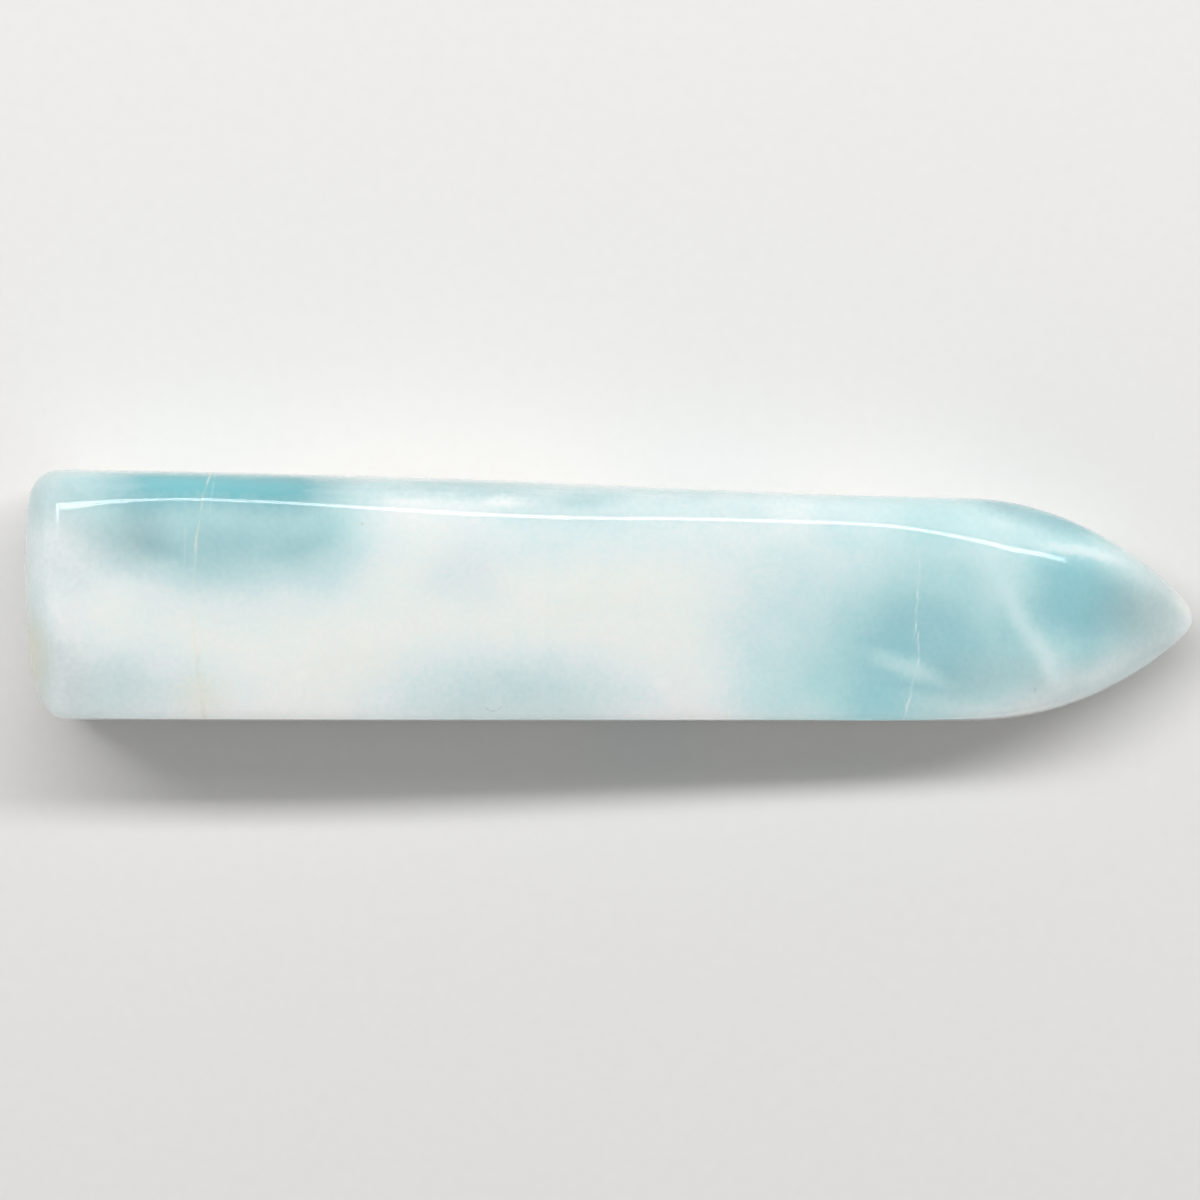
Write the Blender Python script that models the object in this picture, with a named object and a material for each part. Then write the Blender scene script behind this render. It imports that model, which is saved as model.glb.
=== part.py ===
"""A larimar massage wand, modelled as the single stone it is.

The stone lies on its flat underside along X, with its domed butt at -X, its blunt point at +X and +Z up.
Its four faces are slightly crowned, its long edges are rounded by hand and so vary along its length, and its
last fifth is a four-sided ogive. It is thickest at the butt and thins towards the point.
Sizes are in millimetres, and the finished mesh is in metres.
"""

import math

import bmesh
import bpy

METRES_PER_MM = 0.001

# Overall sizes
LENGTH = 100.0
BUTT_DOME = 4.6
POINT_LENGTH = 19.4
POINT_SIDEWAYS = -2.0
POINT_HEIGHT = 5.9
TIP_ROUNDING = 0.7
UNDERSIDE_CUT = 0.2

# Outlines along the length, as pairs of place on X and size
FAR_SIDE = ((-50.0, 10.86), (-15.0, 10.02), (5.0, 9.18), (18.0, 8.66), (32.0, 8.30), (50.0, 7.70))
NEAR_SIDE = ((-50.0, -10.62), (50.0, -10.80))
THICKNESS = ((-50.0, 19.4), (-30.0, 19.2), (-12.0, 17.9), (10.0, 15.4), (30.0, 13.4), (50.0, 11.6))
FAR_EDGE = ((-50.0, 3.3), (-34.0, 2.4), (-9.5, 3.35), (11.0, 2.9), (24.0, 3.1), (34.0, 4.8), (50.0, 6.2))
NEAR_EDGE = ((-50.0, 1.1), (-20.0, 0.75), (28.0, 0.8), (40.0, 1.8), (50.0, 2.2))
LOWER_EDGE = ((-50.0, 2.4), (0.0, 2.0), (28.0, 2.3), (50.0, 2.8))

# Turn of the surface across the middle of a face or side before its edge begins, in degrees
FACE_CROWN = ((-50.0, 5.0), (-40.0, 2.2), (-30.0, 2.0), (30.0, 2.0), (50.0, 4.5))
FAR_CROWN = ((-50.0, 4.2), (-5.0, 3.8), (10.0, 2.8), (30.0, 3.2), (50.0, 16.0))
NEAR_CROWN = ((-50.0, 2.4), (-38.0, 1.3), (12.0, 1.3), (30.0, 2.2), (50.0, 16.0))

# Curve of the point's outline, which would run past the tip if the tip weren't rounded off
POINT_OVERRUN = 0.6
POINT_FULLNESS = 2.1
POINT_BLUNTNESS = 0.88
TIP_SQUARENESS = 3.0
ROUNDEST_EDGE = 0.75

# The butt's dome: how far before its end the top and the underside begin to turn down into it, how square it is
# seen from above, and how far it leans away from its highest place towards its near side
DOME_RIM = 3.8
DOME_SQUARENESS = 4.0
DOME_SQUARENESS_NEAR = 3.0
DOME_TOP_SIDEWAYS = 3.5
DOME_LEAN = 0.22

# Mesh resolution
STEPS_PER_EDGE = 18
DOME_STEPS = 12
BODY_STEPS = 12
POINT_STEPS = 18

STONE_COLOUR = (0.61, 0.81, 0.83, 1.0)
STONE_ROUGHNESS = 0.12

BUTT_END = -LENGTH / 2
TIP_END = LENGTH / 2
DOME_START = BUTT_END + BUTT_DOME
POINT_START = TIP_END - POINT_LENGTH
QUARTER_TURN = math.pi / 2


def flow(stations, x):
    """Reads the smooth curve through the stations at x."""
    last = len(stations) - 1
    i = next((k for k in range(last) if x <= stations[k + 1][0]), last - 1)
    (x0, y0), (x1, y1) = stations[i], stations[i + 1]
    before, after = stations[max(i - 1, 0)], stations[min(i + 2, last)]
    slope0 = (y1 - before[1]) / (x1 - before[0])
    slope1 = (after[1] - y0) / (after[0] - x0)
    span = x1 - x0
    t = (x - x0) / span
    rest = 1 - t
    straight = y0 * (1 + 2 * t) * rest * rest + y1 * t * t * (3 - 2 * t)
    return straight + span * t * rest * (slope0 * rest - slope1 * t)


def faded_cosine(rate, angle):
    """Integral of exp(-rate t) cos t from 0 to the angle."""
    faded = math.exp(-rate * angle) * (math.sin(angle) - rate * math.cos(angle))
    return (rate + faded) / (rate * rate + 1)


def faded_sine(rate, angle):
    """Integral of exp(-rate t) sin t from 0 to the angle."""
    faded = math.exp(-rate * angle) * (math.cos(angle) + rate * math.sin(angle))
    return (1 - faded) / (rate * rate + 1)


def edge_point(turn, reach, height, radius, face_crown, side_crown):
    """The point of a rounded edge where its surface has turned by this angle from the face to the side.

    The radius of curvature is the edge's own, with a part that fades away from the middle of the face and a
    part that fades away from the middle of the side, so a face runs into its edge with no visible line.
    """
    face, side = 1 / face_crown, 1 / side_crown
    face_out, face_down = faded_cosine(face, QUARTER_TURN), faded_sine(face, QUARTER_TURN)
    side_down, side_out = faded_cosine(side, QUARTER_TURN), faded_sine(side, QUARTER_TURN)
    wide, high = reach - radius, height - radius
    shared = face_out * side_down - face_down * side_out
    face_size = (wide * side_down - high * side_out) / shared
    side_size = (high * face_out - wide * face_down) / shared
    left = QUARTER_TURN - turn
    out = radius * math.sin(turn) + face_size * faded_cosine(face, turn)
    out += side_size * (side_out - faded_sine(side, left))
    up = radius * math.cos(turn) + face_size * (face_down - faded_sine(face, turn))
    up += side_size * faded_cosine(side, left)
    return out, up


def point_share(x):
    """How much of the body's section is left at x: all of it until the point begins, none at the tip."""
    along = max((x - POINT_START) / (POINT_LENGTH + POINT_OVERRUN), 0.0)
    into_tip = max((x - TIP_END) / TIP_ROUNDING + 1, 0.0)
    rounding = max(1 - into_tip**TIP_SQUARENESS, 0.0) ** (1 / TIP_SQUARENESS)
    return rounding * (1 - along**POINT_FULLNESS) ** POINT_BLUNTNESS


def heights(x):
    """Heights at x of the top and of the underside, which is crowned and so starts a little below ground."""
    share = point_share(x)
    top = POINT_HEIGHT + (flow(THICKNESS, x) - POINT_HEIGHT) * share
    return top, POINT_HEIGHT - (POINT_HEIGHT + UNDERSIDE_CUT) * share


def centre(x):
    """The middle of the section at x, sideways and in height."""
    return POINT_SIDEWAYS * (x - BUTT_END) / LENGTH, sum(heights(x)) / 2


def outline(x):
    """Points round the section at x from the middle of the top, as (y, z)."""
    share = point_share(x)
    centre_y, centre_z = centre(x)
    far = POINT_SIDEWAYS + (flow(FAR_SIDE, x) - POINT_SIDEWAYS) * share - centre_y
    near = centre_y - POINT_SIDEWAYS - (flow(NEAR_SIDE, x) - POINT_SIDEWAYS) * share
    height = heights(x)[0] - centre_z
    quarters = (
        (1, 1, far, FAR_EDGE, FAR_CROWN),
        (1, -1, far, LOWER_EDGE, FAR_CROWN),
        (-1, -1, near, LOWER_EDGE, NEAR_CROWN),
        (-1, 1, near, NEAR_EDGE, NEAR_CROWN),
    )
    points = []
    for sideways, upward, reach, edge, side_crown in quarters:
        crowns = math.radians(flow(FACE_CROWN, x)), math.radians(flow(side_crown, x))
        radius = min(flow(edge, x), ROUNDEST_EDGE * min(reach, height))
        outward = sideways == upward
        for step in range(STEPS_PER_EDGE):
            done = (step if outward else STEPS_PER_EDGE - step) / STEPS_PER_EDGE
            turn = QUARTER_TURN * (1 - math.cos(math.pi * done)) / 2
            out, up = edge_point(turn, reach, height, radius, *crowns)
            points.append((centre_y + sideways * out, centre_z + upward * up))
    return points


def add_ring(bm, points):
    """A closed loop of edges through the points."""
    circle = bmesh.ops.create_circle(bm, segments=len(points), radius=1.0)["verts"]
    for vert, point in zip(circle, points):
        vert.co = point
    return list({edge for vert in circle for edge in vert.link_edges})


def section_ring(bm, x):
    """The loop of the plain section at x."""
    return add_ring(bm, [(x, y, z) for y, z in outline(x)])


def dome_ring(bm, turn):
    """A loop on the butt's dome, where its top has turned by this angle from level to the end."""
    back = BUTT_DOME - DOME_RIM * (1 - math.sin(turn))
    centre_y, centre_z = centre(DOME_START)
    top_to_near = DOME_TOP_SIDEWAYS - flow(NEAR_SIDE, BUTT_END)
    points = []
    for y, z in outline(DOME_START):
        squareness = DOME_SQUARENESS if y > centre_y else DOME_SQUARENESS_NEAR
        spread = (1 - (back / BUTT_DOME) ** squareness) ** (1 / squareness)
        y = centre_y + (y - centre_y) * spread
        lean = DOME_LEAN * min((y - DOME_TOP_SIDEWAYS) / top_to_near, 0.0) ** 2
        points.append((DOME_START - back * (1 - lean), y, centre_z + (z - centre_z) * math.cos(turn)))
    return add_ring(bm, points)


def close_end(bm, ring, x):
    """Closes a ring with faces that meet at the end of the stone's middle line."""
    face = bmesh.ops.contextual_create(bm, geom=ring)["faces"][0]
    pole = bmesh.ops.poke(bm, faces=[face])["verts"][0]
    pole.co = (x, *centre(x))


def flatten_underside(bm):
    """Cuts the crowned underside off level with the ground and closes it with one flat face."""
    whole = bm.verts[:] + bm.edges[:] + bm.faces[:]
    cut = bmesh.ops.bisect_plane(bm, geom=whole, plane_co=(0, 0, 0), plane_no=(0, 0, -1), clear_outer=True)
    rim = [part for part in cut["geom_cut"] if isinstance(part, bmesh.types.BMEdge)]
    bmesh.ops.contextual_create(bm, geom=rim)


def build_stone():
    """The stone's mesh, in metres."""
    bm = bmesh.new()
    dome_turns = [QUARTER_TURN * (1 - step / DOME_STEPS) for step in range(1, DOME_STEPS + 1)]
    body_places = [DOME_START + (POINT_START - DOME_START) * step / BODY_STEPS for step in range(BODY_STEPS)]
    point_turns = [QUARTER_TURN * step / POINT_STEPS for step in range(POINT_STEPS)]
    rings = [dome_ring(bm, turn) for turn in dome_turns]
    rings += [section_ring(bm, x) for x in body_places]
    rings += [section_ring(bm, POINT_START + POINT_LENGTH * math.sin(turn)) for turn in point_turns]
    for ring, following in zip(rings, rings[1:]):
        bmesh.ops.bridge_loops(bm, edges=ring + following)
    close_end(bm, rings[0], BUTT_END)
    close_end(bm, rings[-1], TIP_END)
    flatten_underside(bm)
    bmesh.ops.recalc_face_normals(bm, faces=bm.faces[:])
    bmesh.ops.scale(bm, vec=(METRES_PER_MM,) * 3, verts=bm.verts[:])
    mesh = bpy.data.meshes.new("wand")
    bm.to_mesh(mesh)
    bm.free()
    mesh.shade_smooth()
    return mesh


def stone_material():
    """Polished pale blue stone."""
    material = bpy.data.materials.new("polished_larimar")
    material.use_nodes = True
    shader = material.node_tree.nodes["Principled BSDF"]
    shader.inputs["Base Color"].default_value = STONE_COLOUR
    shader.inputs["Roughness"].default_value = STONE_ROUGHNESS
    shader.inputs["Metallic"].default_value = 0.0
    return material


for old in list(bpy.data.objects):
    bpy.data.objects.remove(old)

wand = bpy.data.objects.new("wand", build_stone())
wand.data.materials.append(stone_material())
bpy.context.scene.collection.objects.link(wand)
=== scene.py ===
"""Looks of the larimar massage wand: its fine surface, its polished stone, and a plain studio round it.

The stone lies on its flat underside along X, with its domed butt at -X, its blunt point at +X and +Z up.
Sizes and places are in millimetres until a finished mesh is scaled to metres.
"""

import logging
import math
from dataclasses import dataclass
from enum import Enum
from typing import Any

import bmesh
import bpy
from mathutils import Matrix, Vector


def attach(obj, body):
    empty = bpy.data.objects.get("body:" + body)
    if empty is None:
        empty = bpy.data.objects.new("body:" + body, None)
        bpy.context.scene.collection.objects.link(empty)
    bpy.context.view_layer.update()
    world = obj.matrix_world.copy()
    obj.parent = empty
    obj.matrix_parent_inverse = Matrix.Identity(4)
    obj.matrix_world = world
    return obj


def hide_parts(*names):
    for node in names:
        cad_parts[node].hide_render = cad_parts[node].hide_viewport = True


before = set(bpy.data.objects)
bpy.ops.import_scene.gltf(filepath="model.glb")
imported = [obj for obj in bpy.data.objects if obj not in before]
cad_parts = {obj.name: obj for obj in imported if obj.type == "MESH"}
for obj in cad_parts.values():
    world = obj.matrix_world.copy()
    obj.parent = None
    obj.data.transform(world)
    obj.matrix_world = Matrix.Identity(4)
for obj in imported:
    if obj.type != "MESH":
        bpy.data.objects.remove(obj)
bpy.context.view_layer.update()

METRES_PER_MM = 0.001
QUARTER_TURN = math.pi / 2

Triple = tuple[float, float, float]

# What a noise gives on average, and how many finer layers it has where its small features show
NOISE_MIDDLE = 0.5
FINE_LAYERS = 3.0

# Share of a seam's reach from which it fades, and features to a millimetre of the noise that it strays by
SEAM_FADES_FROM = 0.7
SEAM_STRAY_SCALE = 0.45

# Features to a millimetre of the noise that breaks seams up, the values between which it does so, and the
# share of a seam that it leaves
SEAM_GAP_SCALE = 0.55
SEAM_GAP_BOUNDS = (0.38, 0.58)
SEAM_LEFT_IN_GAPS = 0.25

log = logging.getLogger("wand")


@dataclass(frozen=True)
class Flow:
    """A size that changes smoothly along the stone.

    Attributes:
        stations: Pairs of place on X and size.
    """

    stations: tuple[tuple[float, float], ...]

    def at(self, x: float) -> float:
        """Reads the smooth curve through the stations.

        Args:
            x: Place on X.

        Returns:
            The size there.
        """
        last = len(self.stations) - 1
        i = next((k for k in range(last) if x <= self.stations[k + 1][0]), last - 1)
        (x0, y0), (x1, y1) = self.stations[i], self.stations[i + 1]
        before, after = self.stations[max(i - 1, 0)], self.stations[min(i + 2, last)]
        slope0 = (y1 - before[1]) / (x1 - before[0])
        slope1 = (after[1] - y0) / (after[0] - x0)
        span = x1 - x0
        t = (x - x0) / span
        rest = 1 - t
        straight = y0 * (1 + 2 * t) * rest * rest + y1 * t * t * (3 - 2 * t)
        return straight + span * t * rest * (slope0 * rest - slope1 * t)


@dataclass(frozen=True)
class Fade:
    """A radius of curvature that fades away as a surface turns.

    Attributes:
        rate: How fast it fades, per radian of turn.
    """

    rate: float

    def cosine(self, angle: float) -> float:
        """Integral of exp(-rate t) cos t from 0 to the angle."""
        faded = math.exp(-self.rate * angle) * (math.sin(angle) - self.rate * math.cos(angle))
        return (self.rate + faded) / (self.rate * self.rate + 1)

    def sine(self, angle: float) -> float:
        """Integral of exp(-rate t) sin t from 0 to the angle."""
        faded = math.exp(-self.rate * angle) * (math.cos(angle) + self.rate * math.sin(angle))
        return (1 - faded) / (self.rate * self.rate + 1)


@dataclass(frozen=True)
class RoundedQuarter:
    """A quarter of the stone's section, from the middle of a face round its edge to the middle of a side.

    The radius of curvature is the edge's own, with a part that fades away from the middle of the face and a
    part that fades away from the middle of the side, so a face runs into its edge with no visible line.

    Attributes:
        reach: From the middle of the section to the side.
        height: From the middle of the section to the face.
        radius: Radius of the edge.
        face: How the curvature of the face fades.
        side: How the curvature of the side fades.
    """

    reach: float
    height: float
    radius: float
    face: Fade
    side: Fade

    def point(self, turn: float) -> tuple[float, float]:
        """Finds the place where the surface has turned by an angle.

        Args:
            turn: Angle from the face towards the side.

        Returns:
            How far out and how far up the place is.
        """
        face_out, face_down = self.face.cosine(QUARTER_TURN), self.face.sine(QUARTER_TURN)
        side_down, side_out = self.side.cosine(QUARTER_TURN), self.side.sine(QUARTER_TURN)
        wide, high = self.reach - self.radius, self.height - self.radius
        shared = face_out * side_down - face_down * side_out
        face_size = (wide * side_down - high * side_out) / shared
        side_size = (high * face_out - wide * face_down) / shared
        left = QUARTER_TURN - turn
        out = self.radius * math.sin(turn) + face_size * self.face.cosine(turn)
        out += side_size * (side_out - self.side.sine(left))
        up = self.radius * math.cos(turn) + face_size * (face_down - self.face.sine(turn))
        up += side_size * self.side.cosine(left)
        return out, up


@dataclass
class Wand:
    """The whole stone: a slim four-sided bar with a domed butt and a blunt four-sided point.

    Attributes:
        length: From the butt's end to the tip.
        butt_dome: How much of the length is the butt's dome.
        point_length: How much of the length is the point.
        point_sideways: How far the tip lies towards the far side.
        point_height: Height of the tip.
        tip_rounding: How much of the length rounds the tip off.
        underside_cut: How much of the crowned underside is cut off.
        far_side: Place of the far side along the body, before the point draws in.
        near_side: The same for the near side.
        thickness: The same for the height of the top.
        far_edge: Radius of the upper far edge.
        near_edge: Radius of the upper near edge.
        lower_edge: Radius of both lower edges.
        face_crown: Turn of the top and underside between their middle and their edges, in degrees.
        far_crown: The same for the far side.
        near_crown: The same for the near side.
        point_overrun: How far the point's curve would run past the tip, were it not rounded off.
        point_fullness: How late the point draws in.
        point_bluntness: How steeply it closes; less is blunter.
        tip_squareness: How square the rounded tip is.
        roundest_edge: Largest radius of an edge, as a share of the section's smaller half.
        dome_rim: How far before the butt's end its top begins to turn down.
        dome_squareness: How square the dome is, seen from above.
        dome_squareness_near: The same for its near half.
        dome_top_sideways: How far the dome's furthest place lies towards the far side.
        dome_lean: How much of the dome's depth is lost at its near side.
        steps_per_edge: Faces round each edge.
        dome_steps: Faces along the dome.
        body_steps: Faces along the body.
        point_steps: Faces along the point.
    """

    length: float = 100.0
    butt_dome: float = 4.6
    point_length: float = 19.4
    point_sideways: float = -2.0
    point_height: float = 5.9
    tip_rounding: float = 0.7
    underside_cut: float = 0.2
    far_side: Flow = Flow(
        ((-50.0, 10.86), (-15.0, 10.02), (5.0, 9.18), (18.0, 8.66), (32.0, 8.30), (50.0, 7.70))
    )
    near_side: Flow = Flow(((-50.0, -10.62), (50.0, -10.80)))
    thickness: Flow = Flow(
        ((-50.0, 19.4), (-30.0, 19.2), (-12.0, 17.9), (10.0, 15.4), (30.0, 13.4), (50.0, 11.6))
    )
    far_edge: Flow = Flow(
        ((-50.0, 3.3), (-34.0, 2.4), (-9.5, 3.35), (11.0, 2.9), (24.0, 3.1), (34.0, 4.8), (50.0, 6.2))
    )
    near_edge: Flow = Flow(((-50.0, 1.1), (-20.0, 0.75), (28.0, 0.8), (40.0, 1.8), (50.0, 2.2)))
    lower_edge: Flow = Flow(((-50.0, 2.4), (0.0, 2.0), (28.0, 2.3), (50.0, 2.8)))
    face_crown: Flow = Flow(((-50.0, 5.0), (-40.0, 2.2), (-30.0, 2.0), (30.0, 2.0), (50.0, 4.5)))
    far_crown: Flow = Flow(((-50.0, 4.2), (-5.0, 3.8), (10.0, 2.8), (30.0, 3.2), (50.0, 16.0)))
    near_crown: Flow = Flow(((-50.0, 2.4), (-38.0, 1.3), (12.0, 1.3), (30.0, 2.2), (50.0, 16.0)))
    point_overrun: float = 0.6
    point_fullness: float = 2.1
    point_bluntness: float = 0.88
    tip_squareness: float = 3.0
    roundest_edge: float = 0.75
    dome_rim: float = 3.8
    dome_squareness: float = 4.0
    dome_squareness_near: float = 3.0
    dome_top_sideways: float = 3.5
    dome_lean: float = 0.22
    steps_per_edge: int = 56
    dome_steps: int = 30
    body_steps: int = 48
    point_steps: int = 60

    def __post_init__(self) -> None:
        """Works out where the stone's three stretches begin and end."""
        self.butt_end = -self.length / 2
        self.tip_end = self.length / 2
        self.dome_start = self.butt_end + self.butt_dome
        self.point_start = self.tip_end - self.point_length

    def point_share(self, x: float) -> float:
        """Tells how much of the body's section is left.

        Args:
            x: Place on X.

        Returns:
            1 until the point begins, down to 0 at the tip.
        """
        along = max((x - self.point_start) / (self.point_length + self.point_overrun), 0.0)
        into_tip = max((x - self.tip_end) / self.tip_rounding + 1, 0.0)
        rounding = max(1 - into_tip**self.tip_squareness, 0.0) ** (1 / self.tip_squareness)
        return rounding * (1 - along**self.point_fullness) ** self.point_bluntness

    def heights(self, x: float) -> tuple[float, float]:
        """Gives the heights of the top and of the crowned underside, which starts a little below ground.

        Args:
            x: Place on X.

        Returns:
            The two heights.
        """
        share = self.point_share(x)
        top = self.point_height + (self.thickness.at(x) - self.point_height) * share
        return top, self.point_height - (self.point_height + self.underside_cut) * share

    def centre(self, x: float) -> tuple[float, float]:
        """Gives the middle of a section.

        Args:
            x: Place on X.

        Returns:
            Its place sideways and its height.
        """
        return self.point_sideways * (x - self.butt_end) / self.length, sum(self.heights(x)) / 2

    def outline(self, x: float) -> list[tuple[float, float]]:
        """Works out the points round a section, from the middle of the top.

        Args:
            x: Place on X.

        Returns:
            For each point its place sideways and its height.
        """
        share = self.point_share(x)
        centre_y, centre_z = self.centre(x)
        far = self.point_sideways + (self.far_side.at(x) - self.point_sideways) * share - centre_y
        near = centre_y - self.point_sideways - (self.near_side.at(x) - self.point_sideways) * share
        height = self.heights(x)[0] - centre_z
        face = Fade(1 / math.radians(self.face_crown.at(x)))
        far_side = Fade(1 / math.radians(self.far_crown.at(x)))
        near_side = Fade(1 / math.radians(self.near_crown.at(x)))
        quarters = (
            (1, 1, far, self.far_edge, far_side),
            (1, -1, far, self.lower_edge, far_side),
            (-1, -1, near, self.lower_edge, near_side),
            (-1, 1, near, self.near_edge, near_side),
        )
        points = []
        for sideways, upward, reach, edge, side in quarters:
            radius = min(edge.at(x), self.roundest_edge * min(reach, height))
            quarter = RoundedQuarter(reach, height, radius, face, side)
            outward = sideways == upward
            for step in range(self.steps_per_edge):
                done = (step if outward else self.steps_per_edge - step) / self.steps_per_edge
                turn = QUARTER_TURN * (1 - math.cos(math.pi * done)) / 2
                out, up = quarter.point(turn)
                points.append((centre_y + sideways * out, centre_z + upward * up))
        return points

    def add_ring(self, bm: bmesh.types.BMesh, points: list[Triple]) -> list[bmesh.types.BMEdge]:
        """Adds a closed loop of edges.

        Args:
            bm: The mesh that is being made.
            points: Where its vertices lie.

        Returns:
            The loop's edges.
        """
        circle = bmesh.ops.create_circle(bm, segments=len(points), radius=1.0)["verts"]
        for vert, point in zip(circle, points):
            vert.co = point
        return list({edge for vert in circle for edge in vert.link_edges})

    def section_ring(self, bm: bmesh.types.BMesh, x: float) -> list[bmesh.types.BMEdge]:
        """Adds the loop of a plain section.

        Args:
            bm: The mesh that is being made.
            x: Place on X.

        Returns:
            The loop's edges.
        """
        return self.add_ring(bm, [(x, y, z) for y, z in self.outline(x)])

    def dome_ring(self, bm: bmesh.types.BMesh, turn: float) -> list[bmesh.types.BMEdge]:
        """Adds a loop on the butt's dome.

        Args:
            bm: The mesh that is being made.
            turn: Angle that the dome's top has turned by, from level to the end.

        Returns:
            The loop's edges.
        """
        back = self.butt_dome - self.dome_rim * (1 - math.sin(turn))
        centre_y, centre_z = self.centre(self.dome_start)
        top_to_near = self.dome_top_sideways - self.near_side.at(self.butt_end)
        points = []
        for y, z in self.outline(self.dome_start):
            squareness = self.dome_squareness if y > centre_y else self.dome_squareness_near
            spread = (1 - (back / self.butt_dome) ** squareness) ** (1 / squareness)
            y = centre_y + (y - centre_y) * spread
            z = centre_z + (z - centre_z) * math.cos(turn)
            lean = self.dome_lean * min((y - self.dome_top_sideways) / top_to_near, 0.0) ** 2
            points.append((self.dome_start - back * (1 - lean), y, z))
        return self.add_ring(bm, points)

    def close_end(self, bm: bmesh.types.BMesh, ring: list[bmesh.types.BMEdge], x: float) -> None:
        """Closes a ring with faces that meet at the end of the stone's middle line.

        Args:
            bm: The mesh that is being made.
            ring: The last loop at this end.
            x: Where the end is.
        """
        face = bmesh.ops.contextual_create(bm, geom=ring)["faces"][0]
        pole = bmesh.ops.poke(bm, faces=[face])["verts"][0]
        pole.co = (x, *self.centre(x))

    def flatten_underside(self, bm: bmesh.types.BMesh) -> None:
        """Cuts the crowned underside off level with the ground, and closes it with a flat face.

        The crown is shaded apart from the flat, so that the flat reflects as one plane.

        Args:
            bm: The mesh that is being made.
        """
        whole = bm.verts[:] + bm.edges[:] + bm.faces[:]
        cut = bmesh.ops.bisect_plane(
            bm, geom=whole, plane_co=(0, 0, 0), plane_no=(0, 0, -1), clear_outer=True
        )
        rim = [part for part in cut["geom_cut"] if isinstance(part, bmesh.types.BMEdge)]
        flat = bmesh.ops.contextual_create(bm, geom=rim)["faces"]
        bmesh.ops.triangulate(bm, faces=flat)
        for face in bm.faces:
            face.smooth = True
        for edge in rim:
            edge.smooth = False

    def build(self) -> bpy.types.Object:
        """Builds the stone's fine surface.

        Returns:
            The object, in metres.
        """
        bm = bmesh.new()
        rings = []
        for step in range(1, self.dome_steps + 1):
            rings.append(self.dome_ring(bm, QUARTER_TURN * (1 - step / self.dome_steps)))
        for step in range(self.body_steps):
            along = (self.point_start - self.dome_start) * step / self.body_steps
            rings.append(self.section_ring(bm, self.dome_start + along))
        for step in range(self.point_steps):
            along = self.point_length * math.sin(QUARTER_TURN * step / self.point_steps)
            rings.append(self.section_ring(bm, self.point_start + along))
        for ring, following in zip(rings, rings[1:]):
            bmesh.ops.bridge_loops(bm, edges=ring + following)
        self.close_end(bm, rings[0], self.butt_end)
        self.close_end(bm, rings[-1], self.tip_end)
        self.flatten_underside(bm)
        bmesh.ops.recalc_face_normals(bm, faces=bm.faces[:])
        bmesh.ops.scale(bm, vec=(METRES_PER_MM,) * 3, verts=bm.verts[:])
        mesh = bpy.data.meshes.new("larimar_stone")
        bm.to_mesh(mesh)
        bm.free()
        stone = bpy.data.objects.new("larimar_stone", mesh)
        bpy.context.scene.collection.objects.link(stone)
        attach(stone, "root")
        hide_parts("wand")
        return stone

    def dress(self, stone: bpy.types.Object, finish: "Larimar") -> None:
        """Gives the stone its finish."""
        stone.data.materials.append(finish.material())


class Tone(Enum):
    """Colours of the stone in even light, each with its place between white, 0, and deepest blue, 1."""

    WHITE = (0.0, (0.82, 0.83, 0.80))
    MILK = (0.15, (0.745, 0.80, 0.797))
    MIST = (0.3, (0.61, 0.752, 0.763))
    PALE_BLUE = (0.5, (0.474, 0.686, 0.70))
    LIGHT_BLUE = (0.7, (0.361, 0.604, 0.64))
    BLUE = (0.85, (0.296, 0.565, 0.61))
    DEEP_BLUE = (1.0, (0.19, 0.53, 0.58))


class Stain(Enum):
    """Colours of the stone's thin seams and small marks, in even light."""

    CREAM = (0.78, 0.74, 0.58)
    OCHRE = (0.60, 0.50, 0.30)
    CHALK = (0.86, 0.87, 0.84)
    ICE = (0.62, 0.78, 0.80)
    DUST = (0.60, 0.72, 0.73)
    SMOKE = (0.30, 0.34, 0.33)

    def rgba(self) -> tuple[float, float, float, float]:
        """Gives the colour as a node's socket takes it."""
        return (*self.value, 1.0)


@dataclass(frozen=True)
class Cloud:
    """A soft-edged cloud inside the stone.

    Attributes:
        name: What it is.
        strength: How much it adds where it is strongest.
        centre: Its middle.
        reach: How far it reaches along its own three axes.
        turn: How far it is turned about Z, in degrees.
        core: How much of its reach has its full strength.
    """

    name: str
    strength: float
    centre: Triple
    reach: Triple
    turn: float = 0.0
    core: float = 0.1


@dataclass(frozen=True)
class Seam:
    """A thin sheet of another colour that runs through the stone, and shows on its surface as a line.

    Attributes:
        name: What it is.
        stain: Its colour.
        centre: A place that it runs through.
        turn: How far it is turned from the plane across the stone, about Z, in degrees.
        bow: How much it bows sideways, per square of the distance along it.
        half_width: Half its thickness, with its soft edges.
        reach: How far it runs along the surface, both ways.
        wander: How far it strays from its path.
        strength: How much it hides of what it lies over.
    """

    name: str
    stain: Stain
    centre: Triple
    turn: float
    bow: float
    half_width: float
    reach: float
    wander: float
    strength: float


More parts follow.
